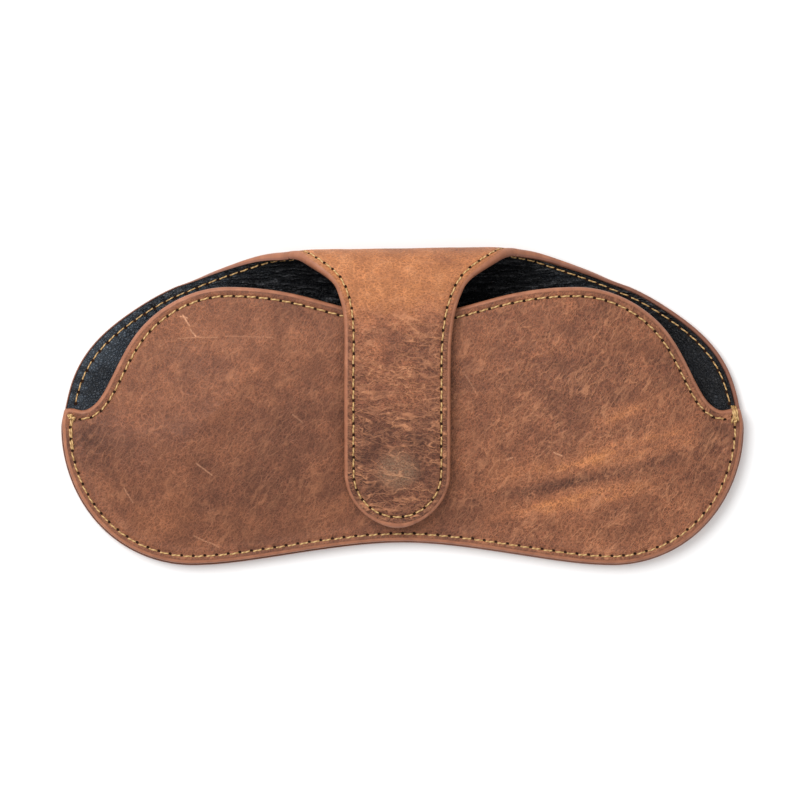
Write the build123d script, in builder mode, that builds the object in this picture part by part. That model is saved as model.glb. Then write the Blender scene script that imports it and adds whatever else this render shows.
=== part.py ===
from build123d import *
from math import ceil, cos, degrees, hypot, radians, sin, sqrt
import os

os.makedirs("parts", exist_ok=True)

# Soft leather sunglasses case, lying on its back. X runs across the case, Y from the
# closed bottom seam towards the fold of the tongue, Z up out of the front panel.
# The origin is on the resting face, under the middle of the case.

# Sheet stock: each panel is leather outside and a thin grained lining inside.
leather = 1.3
lining = 0.8
glue = 0.05
panel = leather + glue + lining

# Tongue: a strip of the back panel, folded over the mouth and held by a magnet.
fold_radius = 10.0
fold_y = 30.8
strap_width = 27.0
tip_y = -30.6
tip_lift = 1.6
closed_gap = 0.9
hinge_angles = (65.0, 125.0)
butt_gap = 0.32

# Front panel: flat at the seam, then lifting like a shallow wedge towards the mouth.
seam_flange = 4.0
rise_reach = 46.0
rise_blend = 5.0
seam_glue = 0.15
seam_level = panel + seam_glue
front_rise = 2 * fold_radius - panel - closed_gap - (seam_level + panel)

# Disc magnets between the leather and the lining.
magnet_diameter = 12.0
magnet_thickness = 1.0
magnet_clearance = 0.05
magnet_y = -16.3

# Waxed thread.
thread = 0.5
thread_bar = 0.4
thread_proud = 0.25
thread_sink = 0.03
stitch_pitch = 3.0
stitch_space = 0.4
stitch_inset = 2.3
knot_radius = 0.7

# Outline of the case as seen from the front, right half.
seam_middle = (0, -34.9)
seam_low = (54, -40.7)
seam_widest = (87.5, -5.5)
mouth_corner = (86.5, -0.6)
mouth_shelf = (82, -1.0)
mouth_crest = (44.5, 30.4)
mouth_middle = (0, 23.3)
fold_half_width = 57.9

# How the panel narrows from the fold's foot to the strap, at angles round the fold:
# 1 is the full half width and 0 the strap's.
fold_shares = [
    (0, 1), (10, 0.903), (22, 0.806), (35, 0.696), (50, 0.577), (68, 0.466),
    (90, 0.372), (115, 0.293), (138, 0.221), (156, 0.146), (173, 0.083), (180, 0.065),
]
fold_widths = [
    (angle, strap_width / 2 + share * (fold_half_width - strap_width / 2))
    for angle, share in fold_shares
]

# How the free edge of the back panel narrows from the mouth's corner to the fold.
free_shares = [(0.92, 7.8), (0.745, 16), (0.41, 24.2)]
free_points = [
    (fold_half_width + share * (mouth_corner[0] - fold_half_width), y) for share, y in free_shares
]

with BuildLine() as seam_line:
    Spline(seam_middle, (15.5, -36), (36, -39), seam_low, tangents=[(1, 0), (1, 0)])
    Spline(seam_low, (72.1, -35.2), (81.9, -25), seam_widest, tangents=[(1, 0), (0, 1)])
    Spline(seam_widest, mouth_corner, tangents=[(0, 1), (-0.3, 1)])

with BuildLine() as mouth_line:
    Line(mouth_corner, mouth_shelf)
    Spline(mouth_shelf, (75.8, 4.7), (67.8, 18.8), (59.6, 26), mouth_crest,
           tangents=[(-1, 0.1), (-1, 0)])
    Spline(mouth_crest, (27, 28.5), (13.5, 25), mouth_middle, tangents=[(-1, 0), (-1, 0)])

with BuildLine() as free_line:
    Spline(mouth_corner, *free_points, (fold_half_width, fold_y), tangents=[(-0.2, 1), (-2.4, 1)])

with BuildLine() as strap_line:
    Spline((fold_widths[-1][1], fold_y), (strap_width / 2 + 1.1, 25.7), (strap_width / 2 + 0.4, 21.4),
           (strap_width / 2, 12), tangents=[(-0.45, -1), (0, -1)])
    Line((strap_width / 2, 12), (strap_width / 2, tip_y + strap_width / 2))
    CenterArc((0, tip_y + strap_width / 2), strap_width / 2, 0, -90)

with BuildSketch() as front_outline:
    with BuildLine():
        add(seam_line.line)
        add(mouth_line.line)
        mirror(about=Plane.YZ)
    make_face()

with BuildSketch() as back_outline:
    with BuildLine():
        add(seam_line.line)
        add(free_line.line)
        Line((fold_half_width, fold_y), (0, fold_y))
        mirror(about=Plane.YZ)
    make_face()

with BuildSketch() as strap_outline:
    with BuildLine():
        Line((0, fold_y), (fold_widths[-1][1], fold_y))
        add(strap_line.line)
        mirror(about=Plane.YZ)
    make_face()


def samples(line, count):
    """Evenly spaced plan points along a chain of edges."""
    wire = Wire(line.edges())
    return [wire.position_at(i / count) for i in range(count + 1)]


seam_points = sorted(((p.X, p.Y) for p in samples(seam_line.line, 120)), key=lambda p: p[0])
# Past the mouth's corner the panel still lifts from a line straight on from the seam.
held_points = seam_points + [(mouth_corner[0], mouth_corner[1] + i) for i in range(36)]


def seam_y(x):
    """Lower edge of the case at a distance from the middle."""
    for (x0, y0), (x1, y1) in zip(seam_points, seam_points[1:]):
        if x0 <= abs(x) <= x1 and x1 > x0:
            return y0 + (y1 - y0) * (abs(x) - x0) / (x1 - x0)
    return seam_widest[1]


def rise(x, y):
    """How far the front panel stands above its seam level."""
    if y < seam_y(x):
        return 0.0
    if abs(x) >= mouth_corner[0] - seam_flange:
        return 0.0
    edge = min(hypot(px - abs(x), py - y) for px, py in held_points)
    inside = max(edge - seam_flange, 0.0)
    share = min(inside * inside / (inside + rise_blend) / rise_reach, 1.0)
    return front_rise * (1 - (1 - share) ** 2)


def stretch(x, y, step=0.5):
    """Vertical thickness of a sloping sheet for each millimetre of real thickness."""
    across = (rise(x + step, y) - rise(x - step, y)) / (2 * step)
    along = (rise(x, y + step) - rise(x, y - step)) / (2 * step)
    return sqrt(1 + across ** 2 + along ** 2)


def front_height(x, y, depth):
    """Height in the front panel, at a depth measured up from its inner face."""
    return seam_level + rise(x, y) + depth * stretch(x, y)


def strap_floor(y):
    """Inner face of the closed tongue, clear of the front panel below it."""
    reach = [front_height(x, y, panel) for x in (0, strap_width / 4, strap_width / 2)]
    curl = max(magnet_y - magnet_diameter / 2 - y, 0) / (magnet_y - magnet_diameter / 2 - tip_y)
    return min(max(reach), seam_level + panel + front_rise) + closed_gap + tip_lift * curl ** 2


def strap_point(y, depth):
    """Point in the tongue's thickness, measured up from its inner face."""
    slope = (strap_floor(y + 1) - strap_floor(y - 1)) / 2
    run = sqrt(1 + slope ** 2)
    return (y - slope / run * depth, strap_floor(y) + depth / run)


def half_width(angle):
    """Half width of the panel at an angle round the fold."""
    table = fold_widths
    k = max(i for i in range(len(table) - 1) if table[i][0] <= angle)
    slopes = [
        (table[min(i + 1, len(table) - 1)][1] - table[max(i - 1, 0)][1])
        / (table[min(i + 1, len(table) - 1)][0] - table[max(i - 1, 0)][0])
        for i in (k, k + 1)
    ]
    span = table[k + 1][0] - table[k][0]
    t = (angle - table[k][0]) / span
    return (
        table[k][1] * (1 + 2 * t) * (1 - t) ** 2 + table[k + 1][1] * t * t * (3 - 2 * t)
        + span * (slopes[0] * t * (1 - t) ** 2 - slopes[1] * t * t * (1 - t))
    )


def radial_plane(angle):
    """Plane through the fold's axis, its Y pointing out of the fold."""
    a = radians(angle)
    return Plane(origin=(0, fold_y, fold_radius), x_dir=(1, 0, 0), z_dir=(0, cos(a), sin(a)))


def bent_sheet(start, end, outer, thickness):
    """Sheet wrapped round the fold, with its edges square to its face."""
    count = ceil((end - start) / 11)
    with BuildPart() as sheet:
        for i in range(count + 1):
            angle = start + (end - start) * i / count
            with BuildSketch(radial_plane(angle)):
                with Locations((0, outer - thickness / 2)):
                    Rectangle(2 * half_width(angle), 3 * thickness)
        loft()
        with BuildSketch(radial_plane(start)):
            with Locations((0, outer - thickness / 2)):
                Rectangle(4 * fold_half_width, thickness)
        revolve(axis=Axis((0, fold_y, fold_radius), (1, 0, 0)), revolution_arc=end - start,
                mode=Mode.INTERSECT)
    return sheet.part


def domed_sheet(low, high):
    """Layer of the front panel between two depths, trimmed to the front's outline."""
    right = [14, 28, 42, 54, 64, 72, 78, 82.5, 86, 89]
    fractions = [0, 0.05, 0.11, 0.19, 0.3, 0.46, 0.68, 1]
    with BuildPart() as sheet:
        for x in [-x for x in reversed(right)] + [0] + right:
            start = seam_y(x)
            steps = [start - 2, start, start + 2]
            steps += [start + seam_flange + f * (33 - start - seam_flange) for f in fractions]
            ends = [i / (len(steps) - 1) for i in range(len(steps))]
            lower = [Vector(y, front_height(x, y, low)) for y in steps]
            upper = [Vector(y, front_height(x, y, high)) for y in steps]
            with BuildSketch(Plane.YZ.offset(x)):
                with BuildLine():
                    add(Edge.make_spline(lower, parameters=ends))
                    add(Edge.make_spline(upper, parameters=ends))
                    Line(lower[0], upper[0])
                    Line(lower[-1], upper[-1])
                make_face()
        loft()
        with BuildSketch():
            add(front_outline.sketch)
        extrude(amount=3 * fold_radius, mode=Mode.INTERSECT)
    return sheet.part


def strap_sheet(low, high):
    """Layer of the tongue that lies along the front panel, trimmed to its outline."""
    steps = [fold_y - 7, 16, 8, 0, -8, -16, -22, -27, -32]
    with BuildPart() as sheet:
        with BuildSketch(Plane.YZ):
            with BuildLine():
                inner = Spline(
                    (fold_y, 2 * fold_radius - panel + low), *[strap_point(y, low) for y in steps],
                    tangents=[(-1, 0), Vector(*strap_point(-32, low)) - Vector(*strap_point(-31, low))],
                )
                outer = Spline(
                    (fold_y, 2 * fold_radius - panel + high), *[strap_point(y, high) for y in steps],
                    tangents=[(-1, 0), Vector(*strap_point(-32, high)) - Vector(*strap_point(-31, high))],
                )
                Line(inner @ 0, outer @ 0)
                Line(inner @ 1, outer @ 1)
            make_face()
        extrude(amount=strap_width, both=True)
        with BuildSketch():
            add(strap_outline.sketch)
        extrude(amount=3 * fold_radius, mode=Mode.INTERSECT)
    return sheet.part


def magnet_plane(origin_height, slope):
    """Plane through a magnet's middle, lying in the sheet."""
    run = sqrt(1 + slope ** 2)
    return Plane(origin=(0, magnet_y, origin_height), x_dir=(1, 0, 0), z_dir=(0, -slope / run, 1 / run))


# Where each joint opens: a gap in the sheet, split evenly to either side.
gap_angle = degrees(butt_gap / 2 / (fold_radius - panel))
root_end = hinge_angles[0] - gap_angle
fold_span = (hinge_angles[0] + gap_angle, hinge_angles[1] - gap_angle)
flap_start = hinge_angles[1] + gap_angle

front_slope = (rise(0, magnet_y + 1) - rise(0, magnet_y - 1)) / 2
strap_slope = (strap_floor(magnet_y + 1) - strap_floor(magnet_y - 1)) / 2
front_magnet_plane = magnet_plane(front_height(0, magnet_y, lining), front_slope)
flap_magnet_plane = magnet_plane(strap_point(magnet_y, lining)[1], strap_slope)
pocket_radius = magnet_diameter / 2 + magnet_clearance
pocket_depth = magnet_thickness + 2 * magnet_clearance

# Back panel and the foot of the fold.
with BuildPart() as back_leather:
    with BuildSketch():
        add(back_outline.sketch)
    extrude(amount=leather)
    add(bent_sheet(0, root_end, fold_radius, leather))

with BuildPart() as back_lining:
    with BuildSketch(Plane.XY.offset(leather + glue)):
        add(back_outline.sketch)
    extrude(amount=lining)
    add(bent_sheet(0, root_end, fold_radius - leather - glue, lining))

# Front panel, with a pocket for its magnet between the two layers.
with BuildPart() as front_leather:
    add(domed_sheet(lining + glue, panel))
    with Locations(front_magnet_plane.location):
        Cylinder(pocket_radius, pocket_depth, mode=Mode.SUBTRACT)

with BuildPart() as front_lining:
    add(domed_sheet(0, lining))
    with Locations(front_magnet_plane.location):
        Cylinder(pocket_radius, pocket_depth, mode=Mode.SUBTRACT)

with BuildPart() as front_magnet:
    with Locations(front_magnet_plane.location):
        Cylinder(magnet_diameter / 2, magnet_thickness)

# Crown of the fold.
with BuildPart() as fold_leather:
    add(bent_sheet(*fold_span, fold_radius, leather))

with BuildPart() as fold_lining:
    add(bent_sheet(*fold_span, fold_radius - leather - glue, lining))

# Tongue.
with BuildPart() as flap_leather:
    add(bent_sheet(flap_start, 180, fold_radius, leather))
    add(strap_sheet(lining + glue, panel))
    with Locations(flap_magnet_plane.location):
        Cylinder(pocket_radius, pocket_depth, mode=Mode.SUBTRACT)

with BuildPart() as flap_lining:
    add(bent_sheet(flap_start, 180, fold_radius - leather - glue, lining))
    add(strap_sheet(0, lining))
    with Locations(flap_magnet_plane.location):
        Cylinder(pocket_radius, pocket_depth, mode=Mode.SUBTRACT)

with BuildPart() as flap_magnet:
    with Locations(flap_magnet_plane.location):
        Cylinder(magnet_diameter / 2, magnet_thickness)


def inset_run(points, inset):
    """Line kept a fixed distance to the left of a chain of plan points."""
    run = []
    for (x0, y0), (x1, y1) in zip(points, points[1:]):
        length = hypot(x1 - x0, y1 - y0)
        if length > 1e-6:
            run.append(((x0 + x1) / 2 - (y1 - y0) / length * inset,
                        (y0 + y1) / 2 + (x1 - x0) / length * inset))
    return run


def plan(line, count):
    """Plan coordinates of evenly spaced points along a chain of edges."""
    return [(p.X, p.Y) for p in samples(line, count)]


def both_sides(run):
    """A run of (point, normal) from the right side, carried over the middle to the left."""
    return run + [(Vector(-p.X, p.Y, p.Z), n) for p, n in reversed(run)]


def spaced(run, first, last):
    """Places (middle, direction, normal) of whole stitches along a run of (point, normal)."""
    lengths = [0]
    for (a, _), (b, _) in zip(run, run[1:]):
        lengths.append(lengths[-1] + (b - a).length)
    usable = lengths[-1] - first - last
    count = round(usable / stitch_pitch)
    places = []
    for i in range(count):
        target = first + usable * (i + 0.5) / count
        k = max(j for j in range(len(run) - 1) if lengths[j] <= target)
        share = (target - lengths[k]) / (lengths[k + 1] - lengths[k])
        (a, na), (b, nb) = run[k], run[k + 1]
        normal = (na * (1 - share) + nb * share).normalized()
        along = b - a
        places.append((a + (b - a) * share, (along - normal * along.dot(normal)).normalized(), normal))
    return places


def mirrored(places):
    """The same places on the other side of the case."""
    return [(Vector(-p.X, p.Y, p.Z), Vector(-d.X, d.Y, d.Z), n) for p, d, n in places]


def stitch(depth, under_proud):
    """One stitch: a bar on the face, one on the far side and the thread between them."""
    length = stitch_pitch - stitch_space
    with BuildPart() as one:
        with BuildSketch(Plane.XY.offset(thread_proud - thread_bar)):
            SlotOverall(length, thread)
        extrude(amount=thread_bar)
        with BuildSketch(Plane.XY.offset(-depth - under_proud)):
            SlotOverall(length, thread)
        extrude(amount=thread_bar)
        with BuildSketch(Plane.XY.offset(thread_proud / 2)):
            with Locations((length / 2 - thread / 2, 0)):
                Circle(0.4 * thread)
        extrude(amount=-depth - thread_proud / 2)
    return one.part


def sewn(places, pattern):
    """Stitches set on (point, direction, normal) places."""
    with BuildPart() as line:
        with Locations(*[Plane(origin=p, x_dir=d, z_dir=n).location for p, d, n in places]):
            add(pattern)
    return line.part


def wrapped(x, s):
    """Point on the outer leather at a distance along the panel, and its outward normal."""
    a = max(s - fold_y, 0) / fold_radius
    y = min(s, fold_y) + fold_radius * sin(a)
    return Vector(x, y, fold_radius * (1 - cos(a))), Vector(0, sin(a), -cos(a))


def bent_edge(start, end):
    """Edge of the flattened panel between two angles of the fold."""
    angles = [start + (end - start) * i / 90 for i in range(91)]
    return [(half_width(a), fold_y + fold_radius * radians(a)) for a in angles]


up = Vector(0, 0, 1)

# Bottom seam, through both panels; it lies flush in the resting face.
seam_top = seam_level + panel
seam_run = [(Vector(x, y, seam_top), up) for x, y in inset_run(plan(seam_line.line, 120), stitch_inset)]
seam_run.reverse()
with BuildPart() as rim_thread:
    add(sewn(spaced(both_sides(seam_run), 1.5, 1.5), stitch(seam_top, 0)))

# Mouth of the front panel, on its curved face.
mouth_run = [(Vector(x, y, 0), up) for x, y in inset_run(plan(mouth_line.line, 160), stitch_inset)
             if x < mouth_shelf[0] - stitch_inset / 2]
mouth_places = []
for middle, direction, _ in spaced(both_sides(mouth_run), 1.5, 1.5):
    upright = Axis((middle.X, middle.Y, -fold_radius), (0, 0, 1))
    hits = front_leather.part.find_intersection_points(upright)
    point, normal = max(hits, key=lambda hit: hit[0].Z)
    normal = normal if normal.Z > 0 else -normal
    mouth_places.append((point, (direction - normal * direction.dot(normal)).normalized(), normal))
with BuildPart() as mouth_thread:
    add(sewn(mouth_places, stitch(panel, thread_proud)))

# Free edge of the back panel and of the tongue: one line of stitching on the flattened
# panel, shared out to the bodies that the joints divide it into.
free_edge = inset_run(plan(free_line.line, 80) + bent_edge(0, 180), stitch_inset)


def free_run(start, end):
    """The stitch line between two distances along the panel."""
    return [wrapped(x, s) for x, s in free_edge if start < s < end]


def along_panel(angle):
    """Distance along the panel of an angle round the fold."""
    return fold_y + fold_radius * radians(angle)


# Up the sides and round the foot of the fold. The show side is the lining; the far
# side lies just under the leather's face, clear of whatever the case rests on.
back_run = free_run(mouth_corner[1] + 5, along_panel(root_end))
far_side = thread_proud + thread_sink
back_places = [(p - n * far_side, d, n) for p, d, n in spaced(back_run, 0.5, 0.6)]
back_stitch = stitch(panel - far_side, thread_proud)
with BuildPart() as back_edge_thread_right:
    add(sewn(back_places, back_stitch))
with BuildPart() as back_edge_thread_left:
    add(sewn(mirrored(back_places), back_stitch))

# Over the crown of the fold.
fold_places = spaced(free_run(*map(along_panel, fold_span)), 0.5, 0.5)
with BuildPart() as fold_thread:
    add(sewn(fold_places + mirrored(fold_places), stitch(panel, thread_proud)))

# Off the fold, down one side of the tongue, round the tip and back.
flap_run = free_run(along_panel(flap_start), along_panel(180))
for x, y in inset_run(plan(strap_line.line, 160), -stitch_inset):
    if y < fold_y - 0.5:
        slope = (strap_floor(y + 1) - strap_floor(y - 1)) / 2
        top = strap_floor(y) + panel * sqrt(1 + slope ** 2)
        flap_run.append((Vector(x, y, top), Vector(0, -slope, 1).normalized()))
with BuildPart() as flap_thread:
    add(sewn(spaced(both_sides(flap_run), 0.5, 0.5), stitch(panel, thread_proud)))

# Knotted ends at the mouth corners, where the seam thread is sewn over itself.
knot_x, knot_y = mouth_corner[0] - 2.6, mouth_corner[1] - 2.6
with BuildPart() as corner_tack_right:
    with BuildSketch(Plane.XY.offset(seam_top - thread_bar / 2)):
        with Locations((knot_x + 0.5, knot_y)):
            SlotOverall(stitch_pitch, thread, rotation=80)
        with Locations((knot_x - 0.3, knot_y - 0.2)):
            SlotOverall(stitch_pitch, thread, rotation=55)
        with Locations((knot_x - 0.2, knot_y + 0.6)):
            SlotOverall(stitch_pitch, thread, rotation=165)
    extrude(amount=thread_bar + thread_proud)
    with Locations((knot_x + 0.3, knot_y + 0.5, seam_top + thread_proud)):
        Sphere(knot_radius, rotation=(90, 0, 0))
with BuildPart() as corner_tack_left:
    add(corner_tack_right.part)
    mirror(about=Plane.YZ)
    split(bisect_by=Plane.YZ, keep=Keep.BOTTOM)

back_leather.part.label = "back_leather"
back_lining.part.label = "back_lining"
front_leather.part.label = "front_leather"
front_lining.part.label = "front_lining"
front_magnet.part.label = "front_magnet"
rim_thread.part.label = "rim_thread"
mouth_thread.part.label = "mouth_thread"
back_edge_thread_left.part.label = "back_edge_thread_left"
back_edge_thread_right.part.label = "back_edge_thread_right"
corner_tack_left.part.label = "corner_tack_left"
corner_tack_right.part.label = "corner_tack_right"
fold_leather.part.label = "fold_leather"
fold_lining.part.label = "fold_lining"
fold_thread.part.label = "fold_thread"
flap_leather.part.label = "flap_leather"
flap_lining.part.label = "flap_lining"
flap_magnet.part.label = "flap_magnet"
flap_thread.part.label = "flap_thread"

export_step(back_leather.part, "parts/back_leather.step")
export_step(back_lining.part, "parts/back_lining.step")
export_step(front_leather.part, "parts/front_leather.step")
export_step(front_lining.part, "parts/front_lining.step")
export_step(front_magnet.part, "parts/front_magnet.step")
export_step(rim_thread.part, "parts/rim_thread.step")
export_step(mouth_thread.part, "parts/mouth_thread.step")
export_step(back_edge_thread_left.part, "parts/back_edge_thread_left.step")
export_step(back_edge_thread_right.part, "parts/back_edge_thread_right.step")
export_step(corner_tack_left.part, "parts/corner_tack_left.step")
export_step(corner_tack_right.part, "parts/corner_tack_right.step")
export_step(fold_leather.part, "parts/fold_leather.step")
export_step(fold_lining.part, "parts/fold_lining.step")
export_step(fold_thread.part, "parts/fold_thread.step")
export_step(flap_leather.part, "parts/flap_leather.step")
export_step(flap_lining.part, "parts/flap_lining.step")
export_step(flap_magnet.part, "parts/flap_magnet.step")
export_step(flap_thread.part, "parts/flap_thread.step")
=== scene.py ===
import math

import bpy
import numpy as np
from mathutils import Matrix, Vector
from mathutils.geometry import delaunay_2d_cdt


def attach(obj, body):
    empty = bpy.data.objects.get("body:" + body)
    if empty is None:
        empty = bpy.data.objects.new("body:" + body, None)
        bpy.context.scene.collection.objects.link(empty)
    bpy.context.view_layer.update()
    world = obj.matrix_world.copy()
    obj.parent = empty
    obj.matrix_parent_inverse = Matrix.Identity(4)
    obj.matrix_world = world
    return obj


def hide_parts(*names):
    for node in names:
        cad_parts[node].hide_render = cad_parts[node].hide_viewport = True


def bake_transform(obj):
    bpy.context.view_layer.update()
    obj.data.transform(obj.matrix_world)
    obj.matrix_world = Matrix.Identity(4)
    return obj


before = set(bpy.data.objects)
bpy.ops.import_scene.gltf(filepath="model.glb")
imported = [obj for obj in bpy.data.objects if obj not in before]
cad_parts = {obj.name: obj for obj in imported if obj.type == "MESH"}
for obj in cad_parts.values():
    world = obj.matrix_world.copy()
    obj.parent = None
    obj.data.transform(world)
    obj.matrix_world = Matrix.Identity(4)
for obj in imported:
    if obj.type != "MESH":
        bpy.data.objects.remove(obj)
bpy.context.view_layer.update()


def new_object(name, data):
    obj = bpy.data.objects.new(name, data)
    bpy.context.scene.collection.objects.link(obj)
    return obj


# ---------------- camera
MM = 0.001
IMAGE = 800                        # pixels along the photograph's side
PIXEL = 0.256                      # millimetres for each of its pixels
PHOTO_ORIGIN = (402.5, 406.5)      # the one at x 0, y 0
PHOTO_LEVEL = 4.0                  # the height at which PIXEL holds
LENS, SENSOR = 300.0, 36.0

camera_data = bpy.data.cameras.new("camera")
camera_data.lens = LENS
camera_data.sensor_width = SENSOR
camera_data.clip_end = 10
camera = new_object("camera", camera_data)
camera.location = ((IMAGE / 2 - PHOTO_ORIGIN[0]) * PIXEL * MM,
                   (PHOTO_ORIGIN[1] - IMAGE / 2) * PIXEL * MM,
                   (IMAGE * PIXEL * LENS / SENSOR + PHOTO_LEVEL) * MM)
bpy.context.scene.camera = camera
bpy.context.scene.view_settings.view_transform = "Standard"

# ---------------- sizes, in millimetres
LEATHER, LINING, GLUE = 1.3, 0.8, 0.05
PANEL = LEATHER + GLUE + LINING    # thickness of one panel
SEAM_GLUE = 0.15
SEAM_LEVEL = PANEL + SEAM_GLUE     # where the front panel lies on the back panel
FRONT_Z = SEAM_LEVEL + PANEL       # its outer face there
FOLD_R, FOLD_Y = 10.0, 30.8        # the fold: outer radius, and where it starts
FOLD_HALF = 57.9                   # half its width there
STRAP_W, TIP_Y, TIP_LIFT = 27.0, -30.6, 1.6    # the tongue
CLOSED_GAP = 0.9                   # between the closed tongue and the front panel
FLANGE, REACH, BLEND = 4.0, 46.0, 5.0      # how the front panel rises from its seam
RISE = 2 * FOLD_R - PANEL - CLOSED_GAP - FRONT_Z
MAGNET_Y, MAGNET_D = -16.3, 12.0   # middle and diameter
INSET, PITCH = 2.3, 3.0            # of the stitches
GROOVE_W = 0.48                    # half-width of the groove that they lie in
EDGE_ROUND = 1.0                   # radius of the leather's outer edge
FRONT_LIP = 0.4                    # painted lip round the front panel's lining
LEATHER_FACE = LEATHER + 0.10      # depth of the leather's inner face under its lining
LINING_FACE = LEATHER + 0.12       # depth of the lining's hidden face
CUT_ANGLE = 95.0                   # where on the fold the back panel's mesh ends
CORNER = (86.5, -0.6)              # where mouth and seam meet
LINE_STEP, RIM_STEP = 0.4, 0.6     # spacing of the points on outlines and on rims
FAR = 1e9                          # more than any distance


# ---------------- curves
def smooth(t):
    """0 to 1 with level ends."""
    t = np.clip(t, 0, 1)
    return t * t * (3 - 2 * t)


def rounded(d, radius):
    """0 at the edge and 1 from radius inwards, along a quarter circle."""
    t = np.clip(d / radius, 0, 1)
    return np.sqrt(np.maximum(1 - (1 - t) ** 2, 0))


def units(v):
    return v / np.linalg.norm(v, axis=1)[:, None]


def lengths(p):
    """Distance along a line at each of its points."""
    return np.concatenate([[0], np.cumsum(np.linalg.norm(np.diff(p, axis=0), axis=1))])


def spline_slopes(p, t, start=None, end=None):
    """Slopes of the smooth curve through p at t. An end without a direction is free."""
    n = len(p)
    a, b = np.zeros((n, n)), np.zeros(p.shape)
    for i in range(1, n - 1):
        h0, h1 = t[i] - t[i - 1], t[i + 1] - t[i]
        a[i, i - 1], a[i, i], a[i, i + 1] = h1, 2 * (h0 + h1), h0
        b[i] = 3 * (h1 * (p[i] - p[i - 1]) / h0 + h0 * (p[i + 1] - p[i]) / h1)
    for row, near, unit in ((0, 1, start), (n - 1, n - 2, end)):
        if unit is None:
            a[row, row], a[row, near] = 2, 1
            b[row] = 3 * (p[near] - p[row]) / (t[near] - t[row])
        else:
            a[row, row] = 1
            b[row] = np.array(unit, float) / np.linalg.norm(unit)
    return np.linalg.solve(a, b)


def on_step(p, m, i, h, u):
    """Points at the shares u of step i of a curve, which is h long."""
    return (p[i] * (1 + 2 * u) * (1 - u) ** 2 + p[i + 1] * u * u * (3 - 2 * u)
            + h * (m[i] * u * (1 - u) ** 2 - m[i + 1] * u * u * (1 - u)))


def clamped_spline(points, start=None, end=None):
    """Smooth curve through points, as evenly spaced rows."""
    p = np.array(points, float)
    t = lengths(p)
    m = spline_slopes(p, t, start, end)
    rows = []
    for i, h in enumerate(np.diff(t)):
        u = np.linspace(0, 1, max(int(h / 0.1), 4), endpoint=i == len(p) - 2)[:, None]
        rows.append(on_step(p, m, i, h, u))
    return resample(np.concatenate(rows))


def curve3(points):
    """Smooth path in space through points."""
    p = np.array(points, float)
    t = lengths(p)
    m = spline_slopes(p, t)
    out = []
    for at in np.linspace(0, t[-1], max(int(t[-1] / 0.12), 8)):
        i = min(int(np.searchsorted(t, at, side="right")) - 1, len(p) - 2)
        h = t[i + 1] - t[i]
        out.append(on_step(p, m, i, h, (at - t[i]) / h))
    return np.array(out)


def points_at(p, at):
    """Points at distances along a line."""
    return np.stack([np.interp(at, lengths(p), column) for column in p.T], 1)


def resample(p, step=LINE_STEP):
    """Rows evenly spaced along a line, both ends kept."""
    total = lengths(p)[-1]
    return points_at(p, np.linspace(0, total, max(int(round(total / step)), 1) + 1))


def chain(*runs):
    """Lines joined end to end, without their repeated points."""
    return np.concatenate([runs[0], *[run[1:] for run in runs[1:]]])


def mirror_close(half):
    """Closed outline from its right half, which runs from the middle line to the middle line."""
    return np.concatenate([half, half[::-1][1:-1] * np.array([-1, 1])])


def closed_rows(outline, step=RIM_STEP):
    """Closed outline with evenly spaced points."""
    return resample(np.concatenate([outline, outline[:1]]), step)[:-1]


# ---------------- outlines
seam_line = chain(
    clamped_spline([(0, -34.9), (15.5, -36), (36, -39), (54, -40.7)], (1, 0), (1, 0)),
    clamped_spline([(54, -40.7), (72.1, -35.2), (81.9, -25), (87.5, -5.5)], (1, 0), (0, 1)),
    clamped_spline([(87.5, -5.5), CORNER], (0, 1), (-0.3, 1)),
)
mouth_line = chain(
    clamped_spline([CORNER, (84.4, -0.5), (82, -1.0), (79.6, -0.1), (75.8, 4.7), (67.8, 18.8),
                    (59.6, 26), (44.5, 30.4)], (-1, 0.1), (-1, 0)),
    clamped_spline([(44.5, 30.4), (27, 28.5), (13.5, 25), (0, 23.3)], (-1, 0), (-1, 0)),
)
free_line = clamped_spline(
    [CORNER] + [(FOLD_HALF + k * (CORNER[0] - FOLD_HALF), y) for k, y in
                ((0.92, 7.8), (0.745, 16), (0.41, 24.2))] + [(FOLD_HALF, FOLD_Y)],
    (-0.2, 1), (-2.4, 1))
strap_line = chain(
    clamped_spline([(16.4, FOLD_Y), (14.6, 25.7), (13.9, 21.4), (STRAP_W / 2, 12)],
                   (-0.45, -1), (0, -1)),
    resample(np.array([(STRAP_W / 2, 12), (STRAP_W / 2, TIP_Y + STRAP_W / 2)])),
    resample(np.array([(STRAP_W / 2 * math.cos(a), TIP_Y + STRAP_W / 2 * (1 - math.sin(a)))
                       for a in np.linspace(0, math.pi / 2, 80)])),
)
# Half-width of the fold at angles round it: 1 is FOLD_HALF, 0 is the tongue's.
fold_shares = np.array([
    (0, 1), (10, 0.903), (22, 0.806), (35, 0.696), (50, 0.577), (68, 0.466),
    (90, 0.372), (115, 0.293), (138, 0.221), (156, 0.146), (173, 0.083), (180, 0.065)])
fold_s = FOLD_Y + FOLD_R * np.radians(fold_shares[:, 0])
fold_w = STRAP_W / 2 + fold_shares[:, 1] * (FOLD_HALF - STRAP_W / 2)
bent_edge = clamped_spline(np.stack([fold_w, fold_s], 1))

# ---------------- the shape of the panels
hold = np.concatenate([resample(seam_line, 1.0),
                       [(CORNER[0], CORNER[1] + i) for i in range(36)]])
seam_by_x = seam_line[: int(np.argmax(seam_line[:, 0])) + 1]


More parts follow.
